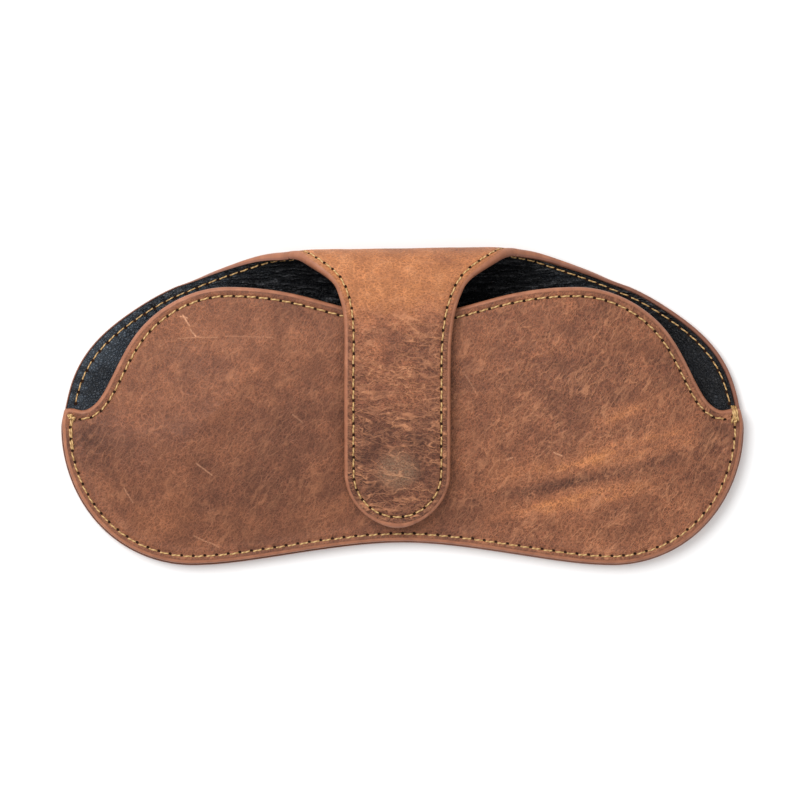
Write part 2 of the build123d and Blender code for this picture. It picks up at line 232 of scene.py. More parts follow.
def rise(x, y):
    """How far the front panel stands above its seam level."""
    x = np.abs(x)
    edge = np.full(x.shape, FAR)
    for px, py in hold:
        edge = np.minimum(edge, np.hypot(px - x, py - y))
    past = np.maximum(edge - FLANGE, 0)
    share = np.minimum(past * past / (past + BLEND) / REACH, 1)
    up = RISE * (1 - (1 - share) ** 2)
    up[(y < np.interp(x, seam_by_x[:, 0], seam_by_x[:, 1])) | (x > CORNER[0] - 0.5)] = 0
    return up


def place_front(p):
    """Outer face of the front panel over plan points, the direction its thickness is
    measured in, and its normal."""
    x, y, h = p[:, 0], p[:, 1], 0.4
    gx = (rise(x + h, y) - rise(x - h, y)) / (2 * h)
    gy = (rise(x, y + h) - rise(x, y - h)) / (2 * h)
    stretch = np.sqrt(1 + gx * gx + gy * gy)
    zero = np.zeros_like(x)
    normal = np.stack([-gx, -gy, np.ones_like(gx)], 1) / stretch[:, None]
    return (np.stack([x, y, SEAM_LEVEL + rise(x, y) + PANEL * stretch], 1),
            np.stack([zero, zero, stretch], 1), normal)


def strap_floor(y):
    """Height of the tongue's inner face over plan distances y."""
    reach = np.zeros_like(y)
    for x in (0, STRAP_W / 4, STRAP_W / 2):
        reach = np.maximum(reach, place_front(np.stack([np.full_like(y, x), y], 1))[0][:, 2])
    magnet_end = MAGNET_Y - MAGNET_D / 2
    curl = np.maximum(magnet_end - y, 0) / (magnet_end - TIP_Y)
    return np.minimum(reach, FRONT_Z + RISE) + CLOSED_GAP + TIP_LIFT * curl ** 2


# Outer face of the tongue from the fold to past its tip, as (y, z) at distances strap_s.
path_y = np.linspace(FOLD_Y, TIP_Y - 4, 500)
floor = strap_floor(path_y)
slope = np.gradient(floor, path_y)
kernel = np.hanning(31) / np.hanning(31).sum()
slope = np.convolve(np.pad(slope, 15, mode="edge"), kernel, mode="valid")
floor = np.convolve(np.pad(floor, 15, mode="reflect", reflect_type="odd"), kernel, mode="valid")
run = np.sqrt(1 + slope ** 2)
strap_path = np.stack([path_y - slope / run * PANEL, floor + PANEL / run], 1)
strap_path[:, 1] += 2 * FOLD_R - strap_path[0, 1]
strap_path[:, 0] += FOLD_Y - strap_path[0, 0]
strap_s = FOLD_Y + math.pi * FOLD_R + lengths(strap_path)


def place_back(p):
    """Outer face of the back panel, fold and tongue over pattern points, the direction its
    thickness is measured in, and its normal."""
    x, s = p[:, 0], p[:, 1]
    turn = np.clip((s - FOLD_Y) / FOLD_R, 0, math.pi)
    y = np.minimum(s, FOLD_Y) + FOLD_R * np.sin(turn)
    z = FOLD_R * (1 - np.cos(turn))
    ny, nz = np.sin(turn), -np.cos(turn)
    strap = s > strap_s[0]
    y = np.where(strap, np.interp(s, strap_s, strap_path[:, 0]), y)
    z = np.where(strap, np.interp(s, strap_s, strap_path[:, 1]), z)
    ty, tz = (np.interp(s, strap_s, np.gradient(strap_path[:, k], strap_s)) for k in (0, 1))
    size = np.hypot(ty, tz)
    ny = np.where(strap, tz / size, ny)
    nz = np.where(strap, -ty / size, nz)
    # The tongue leans a little to the left.
    lean = -1.3 * smooth((s - 45) / 40)
    tilt = (0.45 * np.clip(x / 34, -1, 1) - 0.42) * np.where(strap, smooth((y - 18) / 12), 1)
    y = y + tilt * smooth((turn - 0.7) / 0.9)
    y = y - 0.55 * smooth((np.abs(x) - 22) / 9) * np.exp(-((turn - 1.45) / 0.38) ** 2)
    normal = np.stack([np.zeros_like(x), ny, nz], 1)
    return np.stack([x + lean, y, z], 1), normal, normal


def on_strap(y):
    """Distance along the panel of a plan y on the tongue."""
    return np.interp(-y, -strap_path[:, 0], strap_s)


free_edge = chain(free_line, bent_edge,
                  np.stack([strap_line[:, 0], on_strap(strap_line[:, 1])], 1))
back_outline = mirror_close(chain(seam_line, free_edge))
CUT_S = FOLD_Y + FOLD_R * math.radians(CUT_ANGLE)
MAGNET_S = on_strap(MAGNET_Y)


# ---------------- noise
def hash2(i, j, seed):
    """A fixed number from 0 to 1 for each pair of whole numbers."""
    v = np.sin(i * 127.1 + j * 311.7 + seed * 74.7) * 43758.5453
    return v - np.floor(v)


def noise2(x, y, seed=0, octaves=1):
    """Smooth noise around 0, about -1 to 1."""
    total, size = np.zeros_like(x, float), 1.0
    for k in range(octaves):
        i, j = np.floor(x), np.floor(y)
        su, sv = smooth(x - i), smooth(y - j)
        value = 0
        for a, b in ((0, 0), (1, 0), (0, 1), (1, 1)):
            weight = (su if a else 1 - su) * (sv if b else 1 - sv)
            value = value + weight * hash2(i + a, j + b, seed + k * 17)
        total += size * (2 * value - 1)
        x, y, size = x * 2.03 + 5.1, y * 2.03 + 1.7, size * 0.5
    return total


# ---------------- distance helpers
def distance_to(points, line, closed=False):
    """Least distance from each point to a line of points."""
    a, b = (line, np.roll(line, -1, 0)) if closed else (line[:-1], line[1:])
    out = np.full(len(points), FAR)
    for k in range(0, len(a), 64):
        pa, pb = a[k:k + 64], b[k:k + 64]
        d = pb - pa
        q = points[:, None, :] - pa[None]
        t = np.clip((q * d).sum(2) / np.maximum((d * d).sum(1), 1e-12), 0, 1)
        out = np.minimum(out, np.linalg.norm(q - t[..., None] * d, axis=2).min(1))
    return out


def inside(points, outline):
    """Which points lie inside a closed outline."""
    x, y = points[:, 0], points[:, 1]
    hit = np.zeros(len(points), bool)
    for (x0, y0), (x1, y1) in zip(outline, np.roll(outline, -1, 0)):
        if y0 != y1:
            hit ^= ((y0 > y) != (y1 > y)) & (x < (x1 - x0) * (y - y0) / (y1 - y0) + x0)
    return hit


def inset_line(line, inset):
    """Line a fixed distance to the left of another."""
    d = units(np.gradient(line, axis=0))
    return line + np.stack([-d[:, 1], d[:, 0]], 1) * inset


# ---------------- sheets
# Distances from the rim of a leather panel's rows of points.
RINGS = [0.03, 0.10, 0.20, 0.33, 0.48, 0.70, 0.95, 1.25, 1.55, 1.85, 2.08, 2.3, 2.52, 2.75, 3.1,
         3.6, 4.3, 5.1, 6.0]


def inner_outline(rim, inset):
    """Closed outline kept a fixed distance inside another."""
    inset = np.broadcast_to(inset, len(rim))[:, None]
    closed = np.concatenate([rim[-1:], rim, rim[:1]])
    line = inset_line(closed, np.concatenate([inset[-1:], inset, inset[:1]]))[1:-1]
    keep = (distance_to(line, rim, closed=True) > inset[:, 0] - 0.03) & inside(line, rim)
    return line[keep]


def pattern_mesh(outline, spacing=1.0, rings=RINGS, step=RIM_STEP, cut=None):
    """Triangles over an outline, fine along its edge and even inside, with a row of edges
    along the line y = cut. Returns points, faces and distances from the rim."""
    rim = closed_rows(outline, step)
    count = len(rim)
    if cut is not None:
        for i in range(count):
            j = (i + 1) % count
            a, b = rim[i], rim[j]
            if (a[1] - cut) * (b[1] - cut) < 0:
                meet = a + (b - a) * (cut - a[1]) / (b[1] - a[1])
                rim[i if abs(a[1] - cut) < abs(b[1] - cut) else j] = meet[0], cut
    low, high = rim.min(0), rim.max(0)
    rows = []
    for j, y in enumerate(np.arange(low[1], high[1], spacing * 0.866)):
        x = np.arange(low[0] + (spacing / 2 if j % 2 else 0), high[0], spacing)
        rows.append(np.stack([x, np.full(len(x), y)], 1))
    grid = np.concatenate(rows)
    grid = grid[inside(grid, rim)]
    grid = grid[distance_to(grid, rim, closed=True) > rings[-1] + spacing * 0.6]
    if cut is not None:
        grid = grid[np.abs(grid[:, 1] - cut) > spacing * 0.4]
    every = np.concatenate([rim, *[inner_outline(rim, ring) for ring in rings], grid])
    edges = [(i, (i + 1) % count) for i in range(count)]
    if cut is not None:
        ends = np.flatnonzero(rim[:, 1] == cut)
        ends = ends[np.argsort(rim[ends, 0])]
        row = np.linspace(*rim[ends, 0], int(np.ptp(rim[ends, 0]) / 0.8))[1:-1]
        chained = [ends[0], *range(len(every), len(every) + len(row)), ends[1]]
        edges += [(int(a), int(b)) for a, b in zip(chained, chained[1:])]
        every = np.concatenate([every, np.stack([row, np.full(len(row), cut)], 1)])
    result = delaunay_2d_cdt([Vector(p) for p in every], edges, [], 1, 1e-4)
    verts = np.array([tuple(v) for v in result[0]])
    faces = np.array([f for f in result[2] if len(f) == 3])
    return verts, faces, distance_to(verts, rim, closed=True)


def closed_sheet(flat, faces, d, place, outer, inner):
    """Solid sheet between two faces that meet at the rim. outer and inner are heights over
    the panel's outer face. Returns points, faces, pattern points, distances and sides."""
    base, direction, _ = place(flat)
    core = np.flatnonzero(d >= 2e-3)
    count = len(flat)
    lower = np.arange(count)
    lower[core] = count + np.arange(len(core))
    points = np.concatenate([base + direction * outer[:, None],
                             (base + direction * inner[:, None])[core]])
    every = np.concatenate([faces, lower[faces][:, ::-1]])
    if place is place_back:
        every = every[:, ::-1]
    side = np.concatenate([np.ones(count), -np.ones(len(core))])
    return points, every, np.concatenate([flat, flat[core]]), np.concatenate([d, d[core]]), side


def build(name, points, faces, uv, attributes, materials, face_materials=None, normals=None):
    """Mesh object from arrays in millimetres."""
    mesh = bpy.data.meshes.new(name)
    mesh.vertices.add(len(points))
    mesh.vertices.foreach_set("co", (points * MM).astype(np.float32).ravel())
    loops = faces.ravel().astype(np.int32)
    mesh.loops.add(len(loops))
    mesh.loops.foreach_set("vertex_index", loops)
    mesh.polygons.add(len(faces))
    mesh.polygons.foreach_set("loop_start", np.arange(0, len(loops), faces.shape[1], dtype=np.int32))
    mesh.update(calc_edges=True)
    layer = mesh.uv_layers.new(name="UVMap")
    layer.data.foreach_set("uv", (uv[loops] / 10).astype(np.float32).ravel())
    for key, values in attributes.items():
        mesh.attributes.new(key, "FLOAT", "POINT").data.foreach_set(
            "value", np.asarray(values, np.float32))
    for material in materials:
        mesh.materials.append(material)
    if face_materials is not None:
        mesh.polygons.foreach_set("material_index", np.asarray(face_materials, np.int32))
    mesh.polygons.foreach_set("use_smooth", np.ones(len(faces), bool))
    mesh.update()
    if normals is not None:
        mesh.normals_split_custom_set_from_vertices(normals)
    return new_object(name, mesh)


def vertex_normals(points, faces):
    """Normals of the points, weighted by the size of the faces."""
    a, b, c = points[faces[:, 0]], points[faces[:, 1]], points[faces[:, 2]]
    face = np.cross(b - a, c - a)
    out = np.zeros_like(points)
    for k in range(3):
        np.add.at(out, faces[:, k], face)
    return out / np.maximum(np.linalg.norm(out, axis=1), 1e-12)[:, None]


def halves(names, sheet, values, materials):
    """One panel split at the crown of the fold into two pieces that share their normals."""
    points, faces, uv, d, side = sheet
    normals = vertex_normals(points, faces)
    far = uv[faces][:, :, 1].mean(1) > CUT_S
    made = []
    for name, part in zip(names, (faces[~far], faces[far])):
        used = np.unique(part)
        index = np.zeros(len(points), int)
        index[used] = np.arange(len(used))
        attributes = {"edge": d[used], "side": side[used],
                      **{k: v[used] for k, v in values.items()}}
        made.append(build(name, points[used], index[part], uv[used], attributes, materials,
                          normals=normals[used]))
    return made


# ---------------- stitching
def tube_mesh(ring, phi, radius, along):
    """Points, faces and uv of a tube made of rings of points."""
    rows, sides = ring.shape[:2]
    j, k = np.meshgrid(np.arange(rows - 1), np.arange(sides), indexing="ij")
    k2 = (k + 1) % sides
    quads = np.stack([j * sides + k, j * sides + k2, (j + 1) * sides + k2, (j + 1) * sides + k],
                     -1).reshape(-1, 4)
    uv = np.stack(np.broadcast_arrays(phi[None] * radius, along[:, None]), 2).reshape(-1, 2)
    return ring.reshape(-1, 3), quads, uv


def circle(sides):
    return np.linspace(0, 2 * np.pi, sides, endpoint=False)


def join(sets):
    """Several (points, faces, uv, kinds) as one."""
    start, moved = 0, []
    for points, faces, uv, kinds in sets:
        moved.append((points, faces + start, uv, kinds))
        start += len(points)
    return tuple(np.concatenate(v) for v in zip(*moved))


class Sewn:
    """Stitches between holes on a panel."""
    SIDES, ROWS = 10, 15           # of each thread
    DEPTH = 0.42                   # how far its ends go into their holes
    HOLE = 0.46, 0.44              # half-length and half-width of a hole

    def __init__(self, holes, place, line=None, first=0.0, pitch=PITCH):
        self.holes, self.place = holes, place
        self.line, self.first, self.pitch = line, first, pitch

    def thread(self, outer=True, groove=0.22, radius=0.21, seed=0):
        """Threads from hole to hole on one face of the panel, and a dark patch of painted shade at
        each hole.
        """
        sets = []
        sign = 1.0 if outer else -1.0
        face = -groove if outer else -PANEL + groove
        t = np.linspace(0, 1, self.ROWS)
        arch = np.clip(np.sin(np.pi * t) * 2.6, 0, 1) ** 0.7
        height = face + sign * (-self.DEPTH + (self.DEPTH + radius * 0.75) * arch)
        phi = circle(self.SIDES)
        for i, (a, b) in enumerate(zip(self.holes, self.holes[1:])):
            jitter = hash2(np.array([i * 1.0]), np.array([seed * 3.1]), 5)[0] - 0.5
            along = b - a
            across = np.array([-along[1], along[0]]) / np.linalg.norm(along)
            slant = 0.07 + 0.05 * jitter
            path = a + along * (0.12 + 0.78 * t)[:, None] + across * (slant * (2 * t - 1))[:, None]
            base, direction, normal = self.place(path)
            centre = base + direction * height[:, None]
            run = units(np.gradient(centre, axis=0))
            wide = units(np.cross(sign * normal, run))
            up = np.cross(run, wide)
            lobes = 1 + 0.11 * np.cos(3 * (phi[None] - 2 * np.pi * (0.9 * t[:, None] + i * 0.37)))
            size = radius * (1 + 0.08 * jitter) * lobes * (0.82 + 0.18 * arch)[:, None]
            ring = (centre[:, None] - up[:, None] * (np.cos(phi)[None] * size * 0.9)[..., None]
                    + wide[:, None] * (np.sin(phi)[None] * size)[..., None])
            points, quads, uv = tube_mesh(ring, phi, radius, t * np.linalg.norm(along) + i * PITCH)
            sets.append((points, quads, uv, np.zeros(len(quads), int)))
        # Painted shade at the holes: a small dark patch over each, where the leather has no real
        # hole.
        turn = np.array([[0, 1, 2, 3], [0, 3, 4, 7], [4, 5, 6, 7]])
        if (sign > 0) != (self.place is place_front):
            turn = turn[:, ::-1]
        phi = circle(8)[:, None]
        for hole, along in zip(self.holes, units(np.gradient(self.holes, axis=0))):
            across = np.array([-along[1], along[0]])
            ring = (hole + np.cos(phi) * along * self.HOLE[0] + np.sin(phi) * across
                    * self.HOLE[1] + across * 0.13)
            base, direction, _ = self.place(ring)
            sets.append((base + direction * (face + sign * 0.05), turn, ring, np.ones(3, int)))
        return join(sets)


def sewn_along(line, place, margin):
    """Stitches at an even pitch along a line, kept a margin from both its ends."""
    total = lengths(line)[-1]
    span = total - margin - margin
    count = int(round(span / PITCH))
    holes = points_at(line, np.linspace(margin, total - margin, count + 1))
    return Sewn(holes, place, line, margin, span / count)


def tube(path, radius):
    """Thread along a path in space: (points, faces, uv, kinds)."""
    run = units(np.gradient(path, axis=0))
    up = units(np.cross(run, np.array([0.31, 0.2, 0.93])))
    wide = np.cross(run, up)
    phi = circle(10)
    t = lengths(path)
    taper = np.sqrt(np.clip(np.minimum(t, t[-1] - t) / (radius * 1.2), 0.02, 1))
    size = radius * taper[:, None] * (1 + 0.1 * np.cos(3 * (phi[None] - 2.198 * t[:, None])))
    ring = (path[:, None] + up[:, None] * (np.cos(phi)[None] * size)[..., None]
            + wide[:, None] * (np.sin(phi)[None] * size)[..., None])
    points, quads, uv = tube_mesh(ring, phi, radius, t)
    return points, quads, uv, np.zeros(len(quads), int)


# ---------------- materials
def shader(name):
    """A new material, and a function that adds nodes to it, with shorter ones for those used
    most."""
    material = bpy.data.materials.new(name)
    material.use_nodes = True
    tree = material.node_tree
    tree.nodes.clear()

    def add(kind, inputs=None, out=0, **settings):
        """One output of a new node. Its inputs are linked or set, or left alone if None."""
        node = tree.nodes.new("ShaderNode" + kind)
        for key, v in settings.items():
            setattr(node, key, v)
        for key, v in (inputs or {}).items():
            if isinstance(v, bpy.types.NodeSocket):
                tree.links.new(v, node.inputs[key])
            elif v is not None:
                node.inputs[key].default_value = v
        return node.outputs[out]

    def rgba(colour):
        return colour if isinstance(colour, bpy.types.NodeSocket) else (*colour, 1)

    def value(op, *terms, clamp=False):
        out = terms[0]
        for term in terms[1:]:
            out = add("Math", {0: out, 1: term}, operation=op, use_clamp=clamp)
        return out

    def times(*terms):
        return value("MULTIPLY", *terms)

    def plus(*terms):
        return value("ADD", *terms)

    def vector(op, a, b, out=0):
        return add("VectorMath", {0: a, 1: b}, out=out, operation=op)

    def spread(v, low, high, to_low=0.0, to_high=1.0):
        return add("MapRange", {"Value": v, "From Min": low, "From Max": high,
                                "To Min": to_low, "To Max": to_high})

    def blend_colour(factor, a, b):
        return add("Mix", {0: factor, 6: rgba(a), 7: rgba(b)}, out=2, data_type="RGBA")

    def darken(colour, factor):
        return vector("MULTIPLY", colour, add("CombineColor", {0: factor, 1: factor, 2: factor}))

    def ramp(v, stops):
        out = add("ValToRGB", {0: v})
        elements = out.node.color_ramp.elements
        while len(elements) < len(stops):
            elements.new(0.5)
        for element, (at, colour) in zip(elements, stops):
            element.position, element.color = at, rgba(colour)
        return out

    def uv(stretch=(1, 1, 1), angle=0.0, warp=None, amount=0.0):
        """Pattern coordinates in centimetres, with what is drawn in them stretched along a
        direction, and pushed about by a noise."""
        source = add("UVMap", uv_map="UVMap")
        if warp is not None:
            centred = vector("SUBTRACT", warp, (0.5, 0.5, 0.5))
            source = vector("ADD", source, vector("MULTIPLY", centred, (amount,) * 3))
        return add("Mapping", {"Vector": source, "Rotation": (0, 0, angle), "Scale": stretch},
                   vector_type="TEXTURE")

    def noise(where, scale, detail=4.0, roughness=0.55, out=0):
        return add("TexNoise", {"Vector": where, "Scale": scale, "Detail": detail,
                                "Roughness": roughness}, out=out)

    def cells(where, scale):
        """Distance from the borders between cells."""
        return add("TexVoronoi", {"Vector": where, "Scale": scale}, feature="DISTANCE_TO_EDGE")

    def attribute(key):
        return add("Attribute", out=2, attribute_name=key)

    def bump(height, depth, strength=1.0, normal=None):
        return add("Bump", {"Height": height, "Distance": depth, "Strength": strength,
                            "Normal": normal})

    def surface(colour, roughness, normal=None, **constants):
        named = {key.replace("_", " "): v for key, v in constants.items()}
        out = tree.nodes.new("ShaderNodeOutputMaterial")
        tree.links.new(add("BsdfPrincipled", {"Base Color": rgba(colour), "Roughness": roughness,
                                              "Normal": normal, **named}), out.inputs[0])

    for helper in (value, times, plus, vector, spread, blend_colour, darken, ramp, uv, noise, cells,
                   attribute, bump, surface):
        setattr(add, helper.__name__, helper)
    return material, add


def leather_material(name, lay, wrinkled, scratches=()):
    """Waxed leather. lay is the direction that its grain runs in, and wrinkled how strongly
    it is creased."""
    material, s = shader(name)
    plain = s.uv()
    wobble = s.noise(plain, 2.2, 3, out=1)
    shiver = s.noise(plain, 8.0, 2, out=1)
    clouds = s.noise(plain, 0.55, 5, 0.6)
    mottle = s.noise(s.uv(warp=wobble, amount=0.35), 2.4, 4, 0.6)
    fleck = s.noise(plain, 22.0, 2, 0.6)
    worn = s.attribute("worn")

    # Grain: a pale net between small drawn-out cells, and a finer one over it.
    net = s.cells(s.uv((1.7, 0.85, 1), lay, shiver, 0.09), 12.0)
    fine = s.cells(s.uv((1.3, 0.9, 1), lay + 0.5, shiver, 0.05), 19.0)
    patches = s.spread(s.noise(plain, 1.7, 3, 0.6), 0.36, 0.62, 0.35, 1.0)
    grain = s.plus(s.times(s.spread(net, 0.0, 0.16, 0.75, 0.0), patches),
                   s.spread(fine, 0.0, 0.22, 0.40, 0.0))
    grain = s.times(grain, s.spread(worn, 0.3, 0.9, 0.62, 1.0))

    # Creases: thin lines where stretched noises pass their middle.
    creases = 0.0
    for scale, width, stretch, amount, turn, strength in (
            (4.0, 0.042, 4.0, 0.30, 0.0, 1.0), (7.0, 0.055, 3.5, 0.22, 0.30, 0.5),
            (4.6, 0.040, 3.0, 0.30, -0.6, 0.45)):
        v = s.noise(s.uv((stretch, 1, 1), lay + turn, wobble, amount), scale, 1, 0.5)
        far = s.value("ABSOLUTE", s.value("SUBTRACT", v, 0.5), 0.0)
        creases = s.value("MAXIMUM", creases, s.spread(far, 0.0, width, strength, 0.0))
    where = s.spread(s.noise(plain, 1.1, 3, 0.6), 0.36, 0.58, 0.25, 1.0)
    creases = s.times(creases, where, s.times(worn, wrinkled))

    # tone holds the panels' own paler and darker places, and on the back panel's fold a painted
    # highlight as well.
    level = s.plus(s.times(clouds, 0.40), s.times(mottle, 0.42), s.times(fleck, 0.12),
                   s.times(s.attribute("tone"), 0.36), -0.14)
    colour = s.ramp(level, [(0.0, (0.070, 0.024, 0.013)), (0.25, (0.150, 0.052, 0.026)),
                            (0.5, (0.270, 0.096, 0.043)), (0.72, (0.42, 0.154, 0.056)),
                            (1.0, (0.66, 0.282, 0.120))])
    colour = s.darken(colour, s.spread(grain, 0.0, 1.15, 0.62, 1.85))
    colour = s.blend_colour(s.times(creases, 0.78), colour, (0.56, 0.240, 0.118))
    if scratches:
        bent, marks = s.uv(warp=wobble, amount=0.06), 0.0
        for x0, y0, x1, y1, strength in scratches:
            # Distance from a short line.
            start, run = (x0 / 10, y0 / 10, 0), ((x1 - x0) / 10, (y1 - y0) / 10, 0)
            to = s.vector("SUBTRACT", bent, start)
            share = s.value("DIVIDE", s.vector("DOT_PRODUCT", to, run, out=1),
                            run[0] ** 2 + run[1] ** 2, clamp=True)
            foot = s("VectorMath", {0: run, "Scale": share}, operation="SCALE")
            gap = s.vector("DISTANCE", to, foot, out=1)
            marks = s.value("MAXIMUM", marks, s.spread(gap, 0.006, 0.030, strength, 0.0))
        marks = s.times(marks, s.spread(fleck, 0.35, 0.6, 0.4, 0.9))
        colour = s.blend_colour(marks, colour, (0.68, 0.34, 0.19))

    # The pale dull round over the magnet.
    dull = s.times(s.attribute("dull"), s.spread(fleck, 0.35, 0.65, 0.15, 1.0))
    colour = s.blend_colour(s.times(dull, 0.42), colour, (0.36, 0.245, 0.150))

    # Painted and burnished edge, with a dark line along its inner side.
    ragged = s.plus(s.attribute("edge"),
                    s.times(s.value("SUBTRACT", s.noise(plain, 6.0, 3), 0.5), 0.30))
    paint = s.spread(ragged, 0.72, 0.95, 1.0, 0.0)
    shore = s.times(s.spread(ragged, 0.92, 1.02, 0.0, 1.0), s.spread(ragged, 1.10, 1.45, 1.0, 0.0))
    paint_tone = s.ramp(s.noise(plain, 3.5, 5, 0.65), [(0.25, (0.235, 0.090, 0.048)),
                                                     (0.55, (0.33, 0.130, 0.070)),
                                                     (0.85, (0.44, 0.188, 0.103))])
    colour = s.blend_colour(s.times(shore, 0.30), colour, (0.10, 0.035, 0.020))
    colour = s.blend_colour(paint, colour, paint_tone)
    inner_side = s.spread(s.attribute("side"), -0.4, 0.5, 0.55, 0.0)
    colour = s.blend_colour(inner_side, colour, (0.115, 0.050, 0.040))

    rough = s.plus(s.spread(mottle, 0.3, 0.75, 0.62, 0.46), s.times(paint, -0.08))
    body = s.value("SUBTRACT", 1.0, paint)
    relief = s.bump(s.times(grain, body), 0.00012)
    relief = s.bump(s.times(creases, body), 0.00020, normal=relief)
    relief = s.bump(mottle, 0.00035, 0.7, normal=relief)
    s.surface(colour, rough, relief, Specular_IOR_Level=0.28)
    return material


def lining_material():
    """Grained glossy black leather, creased along the fold, with painted highlights on the crests of
    the creases and a pale blue-grey painted highlight where its tone is high.
    """
    material, s = shader("black_lining")
    plain = s.uv()
    wobble = s.noise(plain, 3.0, 3, out=1)
    grain = s.spread(s.cells(s.uv(warp=s.noise(plain, 11.0, 2, out=1), amount=0.08), 14.0), 0.0, 0.3)
    clouds = s.noise(plain, 1.4, 5, 0.65)
    crease = s.noise(s.uv((7.0, 1, 1), 0.0, wobble, 0.20), 9.0, 3, 0.6)
    fold = s.attribute("crumple")
    # The pale blue-grey top of this ramp is a painted highlight, reached where the tone attribute is
    # high.
    colour = s.ramp(s.plus(s.times(clouds, 0.45), s.times(s.attribute("tone"), 0.5)),
                    [(0.0, (0.0022, 0.0024, 0.003)), (0.4, (0.005, 0.0056, 0.0075)),
                     (0.75, (0.022, 0.027, 0.035)), (1.0, (0.055, 0.068, 0.085))])
    # Painted highlight: pale streaks on the crests of the creases along the fold.
    crest_highlight = s.times(s.spread(crease, 0.52, 0.64), fold, s.spread(clouds, 0.38, 0.58, 0.25, 1.0))
    colour = s.blend_colour(crest_highlight, colour, (0.085, 0.086, 0.092))
    colour = s.darken(colour, s.spread(grain, 0.0, 1.0, 0.30, 1.35))
    rim_dust = s.spread(s.attribute("edge"), 0.0, 0.3, 0.5, 0.0)
    colour = s.blend_colour(rim_dust, colour, (0.035, 0.018, 0.013))
    relief = s.bump(grain, 0.00016)
    relief = s.bump(s.times(crease, fold), 0.0022, normal=relief)
    relief = s.bump(clouds, 0.0006, 0.7, normal=relief)
    s.surface(colour, s.spread(clouds, 0.3, 0.7, 0.26, 0.42), relief, Specular_IOR_Level=0.20)
    return material


def thread_material():
    """Waxed thread, with its strands wound round it."""
    material, s = shader("gold_thread")
    twist = s("TexWave", {"Vector": s.uv((1, 1, 1), 0.62), "Scale": 3.1, "Distortion": 0.6,
                          "Detail": 1.0}, bands_direction="X")
    clouds = s.noise(s.uv(), 4.0, 3)
    colour = s.ramp(s.plus(s.times(twist, 0.6), s.times(clouds, 0.5)),
                    [(0.1, (0.22, 0.110, 0.035)), (0.5, (0.44, 0.255, 0.090)),
                     (0.95, (0.66, 0.43, 0.19))])
    s.surface(colour, 0.46, s.bump(twist, 0.00006), Specular_IOR_Level=0.45)
    return material


def hole_material():
    """Painted shade for the inside of a needle hole: a dark patch, where the leather has no real
    hole.
    """
    material, s = shader("needle_hole_shade")
    clouds = s.noise(s.uv(), 6.0, 3)
    s.surface(s.ramp(clouds, [(0.3, (0.010, 0.004, 0.002)), (0.7, (0.030, 0.012, 0.006))]), 0.9,
              Specular_IOR_Level=0.1)
    return material


def magnet_material():
    """Brushed plating."""
    material, s = shader("plated_magnet")
    coordinates = s("TexCoord", out=3)
    brushed = s.noise(s("Mapping", {"Vector": coordinates, "Scale": (400, 4000, 400)}), 1.0, 4)
    s.surface(s.ramp(brushed, [(0.3, (0.45, 0.45, 0.46)), (0.7, (0.66, 0.66, 0.68))]),
              s.spread(brushed, 0.2, 0.8, 0.24, 0.4), Metallic=1.0)
    return material


# Scratches on the front panel, as x and y of both ends, and strength.
SCRATCHES = [(-55.9, 23.2, -54.2, 20.6, 1.0), (-56.5, 22.9, -54.8, 22.6, 0.7),
             (-54.0, 19.6, -52.7, 17.8, 0.9), (-57.0, 17.4, -47.0, 17.7, 0.30),
             (-45.0, 17.9, -33.0, 17.6, 0.18), (-52.5, -14.5, -48.5, -17.5, 0.5),
             (-53.5, -33.0, -47.0, -36.0, 0.4), (16.0, 8.0, 19.0, 3.0, 0.3),
             (38.5, -11.8, 40.5, -12.6, 0.8), (26.6, -13.6, 28.0, -13.0, 0.6),
             (-28.0, -2.0, -25.5, -4.0, 0.3), (-71.0, -21.0, -69.0, -24.5, 0.4)]
leather = leather_material("tan_leather", 0.95, 0.75, SCRATCHES)
creased_leather = leather_material("creased_tan_leather", 0.08, 1.0)
lining = lining_material()
# hole is the material of the painted shade at the needle holes.
thread, hole, plated = thread_material(), hole_material(), magnet_material()


# ---------------- wear and relief maps
def spots(p, *table):
    """Sum of soft spots, each given as strength, x, y, both radii and angle."""
    total = np.zeros(len(p))
    for strength, x, y, rx, ry, angle in table:
        c, s = math.cos(angle), math.sin(angle)
        u = (p[:, 0] - x) * c + (p[:, 1] - y) * s
        v = -(p[:, 0] - x) * s + (p[:, 1] - y) * c
        total += strength * np.exp(-(u / rx) ** 2 - (v / ry) ** 2)
    return total


def from_magnet(p):
    """Distance from the middle of the magnet under the tongue."""
    return np.hypot(p[:, 0], p[:, 1] - MAGNET_S)


def pulled(points, holes):
    """Small dips where the thread pulls the leather in."""
    depth, radius, reach = 0.14, 0.55, 1.5
    out = np.zeros(len(points))
    for hole in holes:
        near = np.abs(points[:, 1] - hole[1]) < reach
        r = np.hypot(points[near, 0] - hole[0], points[near, 1] - hole[1])
        out[near] = np.maximum(out[near], depth * np.exp(-(r / radius) ** 2))
    return out


def pucker(points, stitches):
    """Distance from a stitch line, and a swelling between its holes."""
    line = resample(stitches.line, 0.3)
    t = lengths(line)
    nearest, at = np.full(len(points), FAR), np.zeros(len(points))
    for k in range(0, len(line), 64):
        r = np.linalg.norm(points[:, None] - line[None, k:k + 64], axis=2)
        i = r.argmin(1)
        better = r.min(1) < nearest
        nearest[better] = r.min(1)[better]
        at[better] = t[k + i[better]]
    phase = (at - stitches.first) / stitches.pitch
    return nearest, np.sin(np.pi * phase) ** 2 * np.exp(-((nearest - 0.9) / 0.9) ** 2)


